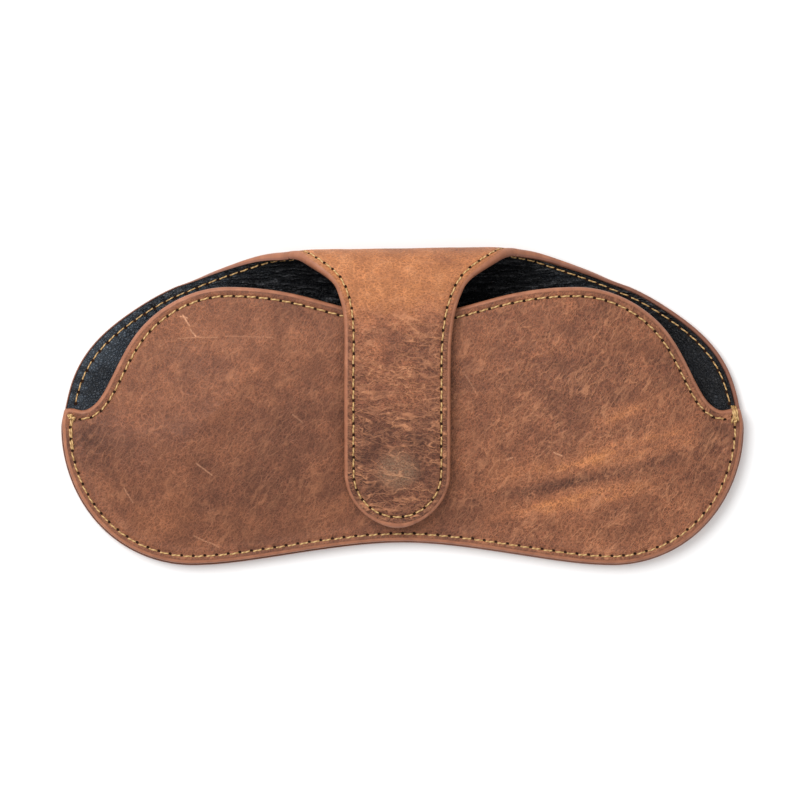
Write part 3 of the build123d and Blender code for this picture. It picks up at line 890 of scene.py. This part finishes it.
def front_tone(p):
    """How pale the front panel is: bands at the lower right, and clouds and rubbed places."""
    x, y = p[:, 0], p[:, 1]
    c, s = math.cos(0.27), math.sin(0.27)
    u, v = x * c + y * s, -x * s + y * c       # along and across the bands
    streak = 1 + 0.7 * noise2(u / 14 + 3.3, v / 1.8, 4, 2)
    tone = streak * spots(p, (1.10, 56, -11.5, 24, 2.7, 0.25), (0.90, 47, -23, 20, 2.5, 0.19),
                          (-0.75, 43, -19.2, 16, 1.7, 0.21), (0.60, 56, -1.6, 10, 2.2, 0.36))
    tone += 0.22 * noise2(u / 22, v / 3, 9, 2) * spots(p, (1, 55, -20, 32, 14, 0.27))
    tone += 0.16 * noise2(x / 17, y / 14, 21, 2) + 0.12 * noise2(x / 5.5, y / 5, 31, 2)
    return tone + spots(p, (-0.30, 45, 3, 26, 13, 0), (-0.22, -38, -10, 26, 15, 0),
                        (-0.75, -79, -8, 5, 6, 0), (-0.75, 79, -7, 4, 6, 0),
                        (0.28, -62, -31, 14, 5, 0.1), (0.20, -45, 20, 26, 6, 0))


def back_tone(p):
    """How pale the back panel is: the bent fold, paler partly because the leather lightens where it
    is bent and partly as a painted highlight on its top, which faces the light; rubbed places on the
    tongue; and streaks underneath."""
    x, y = p[:, 0], p[:, 1]
    tone = 0.2 * noise2(x / 19, y / 15, 51, 2) + 0.14 * noise2(x / 5, y / 4.6, 61, 2)
    # The fold is paler: partly the leather's own lightening where it is bent, partly a painted
    # highlight on the top of the fold, which faces the light.
    tone += smooth((y - 34) / 10) * smooth((77 - y) / 17)
    tone -= 0.26 * smooth((y - on_strap(26)) / 10) + 0.26 * smooth((y - on_strap(10)) / 26)
    tone += 0.12 * smooth((6.0 - from_magnet(p)) / 1.2)
    tone += spots(p, (0.5, -8, on_strap(13), 6, 6.5, 0.5), (0.25, 4, on_strap(2), 7, 9, 0),
                  (-0.16, 8, on_strap(-8), 5, 12, 0), (-0.25, -9, on_strap(-20), 4, 8, 0))
    streak = np.clip(noise2((x * 0.94 + y * 0.34) / 26, (y * 0.94 - x * 0.34) / 3, 73, 2), 0, 1)
    return tone + np.where(y < FOLD_Y, streak * spots(p, (0.7, -40, -8, 38, 18, 0)), 0)


# ---------------- stitch lines
seam_half = inset_line(resample(seam_line), INSET)
seam_stitches = sewn_along(chain(seam_half[::-1] * [-1, 1], seam_half), place_front, 1.2)
mouth_half = inset_line(resample(mouth_line), INSET)
mouth_half = mouth_half[mouth_half[:, 0] < 83.4]       # clear of the seam
mouth_stitches = sewn_along(chain(mouth_half, mouth_half[::-1] * [-1, 1]), place_front, 0.4)
edge_half = inset_line(resample(free_edge), INSET)
edge_half = edge_half[edge_half[:, 1] > 0.2]
edge_stitches = sewn_along(chain(edge_half, edge_half[::-1] * [-1, 1]), place_back, 0.3)


# ---------------- faces of the layers
def outer_side(flat, d, holes, groove, waves):
    """Outer face of the leather: rounded at the rim, with a groove and dips for stitches."""
    return (-EDGE_ROUND * (1 - rounded(d, EDGE_ROUND))
            - groove * np.exp(-((d - INSET) / GROOVE_W) ** 2) - pulled(flat, holes) + waves)


def under_side(d, lip):
    """Inner face of the leather: a painted lip at the rim, then a recess for the lining."""
    return (-PANEL + 0.42 * (1 - rounded(d, 0.42))
            + smooth((d - lip + 0.06) / 0.15) * (PANEL - LEATHER_FACE))


def lining_side(d, drop, radius, across, groove):
    """Shown face of a lining: rounded at its rim, with a groove along its stitches."""
    return (-PANEL + 0.04 + drop * (1 - rounded(d, radius))
            + groove * np.exp(-(across / 0.5) ** 2))


def back_lip(x):
    """Width of the painted lip round the back panel's lining: it is wider on the right."""
    return 0.36 + 0.70 * smooth((x + 15) / 40)


# ---------------- front panel
# Its rim lies a little inside the back panel's, and meets it at the corners.
seam_t = lengths(seam_line)
seam_pull = 0.45 * smooth((seam_t[-1] - seam_t) / 7)
front_rim = mirror_close(chain(inset_line(seam_line, seam_pull[:, None]), mouth_line))
flat, faces, d = pattern_mesh(front_rim)
x, y = flat[:, 0], flat[:, 1]
waves = smooth((d - 5) / 9) * (0.20 * noise2(x / 23, y / 17, 3, 2)
                               + 0.05 * noise2(x / 6, y / 5, 13, 2))
holes = np.concatenate([seam_stitches.holes, mouth_stitches.holes])
points, every, uv, rim_d, side = closed_sheet(
    flat, faces, d, place_front, outer_side(flat, d, holes, 0.22, waves), under_side(d, FRONT_LIP))
front_panel = build("front_panel", points, every, uv,
                    {"edge": rim_d, "side": side, "tone": front_tone(uv), "dull": 0 * rim_d,
                     "worn": 0.40 + 0.50 * smooth((uv[:, 0] + 5) / 50)}, [leather])

flat, faces, d = pattern_mesh(inner_outline(closed_rows(front_rim), FRONT_LIP), 1.3,
                              [0.06, 0.2, 0.45, 1.0, 1.5, 1.9, 2.3, 3.0], 1.0)
shown = lining_side(d, 0.3, 0.45, d - (INSET - FRONT_LIP), 0.15)
points, every, uv, rim_d, side = closed_sheet(flat, faces, d, place_front,
                                              np.full(len(d), -LINING_FACE), shown)
front_lining = build("front_panel_lining", points, every, uv,
                     {"edge": rim_d, "side": side, "tone": 0.2 + 0 * rim_d,
                      "crumple": 0.15 + 0 * rim_d}, [lining])

# ---------------- back panel and tongue
flat, faces, d = pattern_mesh(back_outline, cut=CUT_S)
x, s = flat[:, 0], flat[:, 1]
calm, bent = smooth((d - 4) / 6), smooth((s - 34) / 10)
waves = calm * bent * (0.12 * noise2(x / 12, s / 10, 5, 2) + 0.035 * noise2(x / 3.4, s / 3.0, 6, 2))
waves -= calm * (1 - bent) * 0.06 * np.abs(noise2(x / 20, s / 16, 8, 2))
waves += 0.14 * smooth((7.0 - from_magnet(flat)) / 1.6)
holes = np.concatenate([edge_stitches.holes, seam_stitches.holes])
outer = outer_side(flat, d, holes, 0.22 + 0.23 * smooth((36 - s) / 5), waves)
sheet = closed_sheet(flat, faces, d, place_back, outer, under_side(d, back_lip(x)))
uv, side = sheet[2], sheet[4]
back_panel, tongue = halves(
    ("back_panel", "tongue"), sheet,
    {"tone": back_tone(uv), "worn": 0.35 + 0.65 * smooth((uv[:, 1] - on_strap(31)) / 14),
     "dull": smooth((7.0 - from_magnet(uv)) / 4.5) * (side > 0)}, [creased_leather])

rim = closed_rows(back_outline)
flat, faces, d = pattern_mesh(inner_outline(rim, back_lip(rim[:, 0])), 0.9,
                              [0.05, 0.15, 0.3, 0.6, 0.95, 1.25, 1.55, 1.85, 2.2, 2.6, 3.2], 0.55,
                              cut=CUT_S)
x, s = flat[:, 0], flat[:, 1]
across, puffs = pucker(flat, edge_stitches)
crumple = smooth((s - 20) / 9) * smooth((60 - s) / 10) * smooth((d - 2.6) / 3)
ridges = noise2(x / 15 + 0.6 * noise2(x / 9, s / 9, 2), s / 1.7, 77, 2)
shown = (lining_side(d, 0.32, 0.5, across, 0.2)
         - 0.22 * puffs * (0.35 + 0.65 * smooth((-x - 10) / 30))
         + crumple * 0.34 * np.clip(ridges, -0.7, 1))
sheet = closed_sheet(flat, faces, d, place_back, np.full(len(d), -LINING_FACE), shown)
x, s = sheet[2][:, 0], sheet[2][:, 1]
# The swelling between the stitches, used for a painted highlight on the puffs.
swell_highlight = pucker(sheet[2], edge_stitches)[1] * (sheet[4] < 0)
# Painted light on the lining: a painted highlight towards the left and on the puffs between the
# stitches there, a little painted shade towards the right, and a random tone over all.
lining_tone_and_painted_light = (0.38 + 0.8 * swell_highlight * smooth((-x - 25) / 25) + 0.75 * smooth((-x - 38) / 30)
               - 0.05 * smooth((x - 40) / 30) + 0.2 * noise2(x / 9, s / 7, 88, 2))
# crumple marks where the lining is creased along the fold: bumps there, and painted highlights on
# the crests of the creases.
back_lining, tongue_lining = halves(
    ("back_panel_lining", "tongue_lining"), sheet,
    {"tone": lining_tone_and_painted_light, "crumple": 0.12 + 0.88 * smooth((s - 18) / 10) * smooth((64 - s) / 10)},
    [lining])

# ---------------- threads
REVERSE = dict(outer=False, groove=0.11, radius=0.18)      # thread on the inner face


def sew(name, *sets):
    """Object made of threads and the patches of painted shade at their holes."""
    points, faces, uv, kinds = join(sets)
    return build(name, points, faces, uv, {}, [thread, hole], kinds)


seam_thread = sew("seam_stitching", seam_stitches.thread(seed=1),
                  Sewn(seam_stitches.holes, place_back).thread(groove=0.45, seed=2))
mouth_thread = sew("mouth_stitching", mouth_stitches.thread(seed=3),
                   mouth_stitches.thread(seed=4, **REVERSE))
# The edge's stitches below the cut on either side, and those of the tongue between them.
holes = edge_stitches.holes
low = holes[:, 1] < CUT_S
first_far = int(np.argmin(low))
last_far = len(low) - int(np.argmin(low[::-1]))
runs = [Sewn(holes[:first_far + 1], place_back), Sewn(holes[last_far - 1:], place_back)]
tongue_run = Sewn(holes[first_far:last_far], place_back)
edge_thread = sew("edge_stitching", *[run.thread(groove=0.40, seed=5) for run in runs],
                  *[run.thread(seed=6, **REVERSE) for run in runs])
tongue_thread = sew("tongue_stitching", tongue_run.thread(seed=7),
                    tongue_run.thread(seed=8, **REVERSE))

# The corners are tied off: loops over the mouth's edge on the right, and a knot with
# doubled stitches on the left.
knots = []
for k, (x, lean) in enumerate(((84.6, -0.35), (85.15, 0.0), (85.65, 0.3), (84.9, 0.75))):
    knots.append(tube(curve3([(x + lean, -4.3 + 0.25 * k, FRONT_Z - 0.6),
                              (x + lean, -3.9 + 0.25 * k, FRONT_Z + 0.10),
                              (x + 0.1, -2.6, FRONT_Z + 0.22 + 0.10 * (k % 2)),
                              (x, -1.6, FRONT_Z + 0.12), (x - 0.05, -0.98, FRONT_Z - 0.25),
                              (x - 0.1, -0.66, FRONT_Z - 1.0), (x - 0.2, -0.45, PANEL + 0.55),
                              (x - 0.25, -0.1, PANEL + 0.12), (x - 0.3, 0.2, PANEL - 0.4)]), 0.22))
turn = np.linspace(0, 2 * np.pi, 60)
for cx, cy, size in ((-85.1, -2.5, 0.17), (-84.2, -3.1, 0.12), (85.2, -3.3, 0.2)):
    knots.append(tube(np.stack([cx + size * (np.sin(turn) + 2 * np.sin(2 * turn)),
                                cy + size * (np.cos(turn) - 2 * np.cos(2 * turn)),
                                FRONT_Z + 0.36 - size * np.sin(3 * turn)], 1), 0.23))
for a, b in zip(seam_stitches.holes[:3], seam_stitches.holes[1:4]):
    path = a + (b - a) * np.array([0.06, 0.2, 0.5, 0.8, 0.94])[:, None] + np.array([0.42, 0.1])
    z = FRONT_Z - 0.22 + np.array([-0.4, 0.12, 0.2, 0.12, -0.4])
    knots.append(tube(curve3(np.column_stack([path, z])), 0.24))
corner_knots = sew("corner_knots", *knots)


for obj in (back_panel, back_lining, edge_thread):
    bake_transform(obj)
for obj in (tongue, tongue_lining, tongue_thread):
    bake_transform(obj)
for obj in (front_panel, front_lining, seam_thread, mouth_thread, corner_knots):
    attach(obj, "case")

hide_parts("back_leather", "fold_leather")
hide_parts("back_lining", "fold_lining")
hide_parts("flap_leather")
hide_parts("flap_lining")
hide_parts("front_leather")
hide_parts("front_lining")
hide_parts("rim_thread")
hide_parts("mouth_thread")
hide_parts("back_edge_thread_left", "back_edge_thread_right", "fold_thread")
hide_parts("flap_thread")
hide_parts("corner_tack_left", "corner_tack_right")

for name in ("front_magnet", "flap_magnet"):
    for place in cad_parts[name].material_slots:
        place.material = plated

# ---------------- floor and light
floor_mesh = bpy.data.meshes.new("floor")
FLOOR_R, FLOOR_Z = 4.0, -0.0001    # in metres
ring = [(FLOOR_R * math.cos(a), FLOOR_R * math.sin(a), FLOOR_Z) for a in circle(64)]
floor_mesh.from_pydata(ring, [], [tuple(range(64))])
paper, s = shader("pale_floor")
s.surface(s.ramp(s.noise(s("TexCoord", out=3), 3.0, 2), [(0.3, (0.86, 0.86, 0.86)),
                                                        (0.7, (0.89, 0.89, 0.89))]), 0.9)
floor_mesh.materials.append(paper)
floor_obj = new_object("floor", floor_mesh)


def area_light(name, place, size, power):
    """Round light, aimed at the middle."""
    data = bpy.data.lights.new(name, "AREA")
    data.shape, data.size, data.energy = "DISK", size, power
    obj = new_object(name, data)
    obj.location = place
    obj.rotation_euler = (-Vector(place)).to_track_quat("-Z", "Y").to_euler()


area_light("key", (-0.48, 0.42, 0.80), 0.80, 10)
area_light("fill", (0.7, -0.5, 1.1), 1.0, 3)
world = bpy.data.worlds.new("world")
world.use_nodes = True
background = world.node_tree.nodes["Background"]
background.inputs["Color"].default_value = (1, 1, 1, 1)
background.inputs["Strength"].default_value = 0.68
bpy.context.scene.world = world
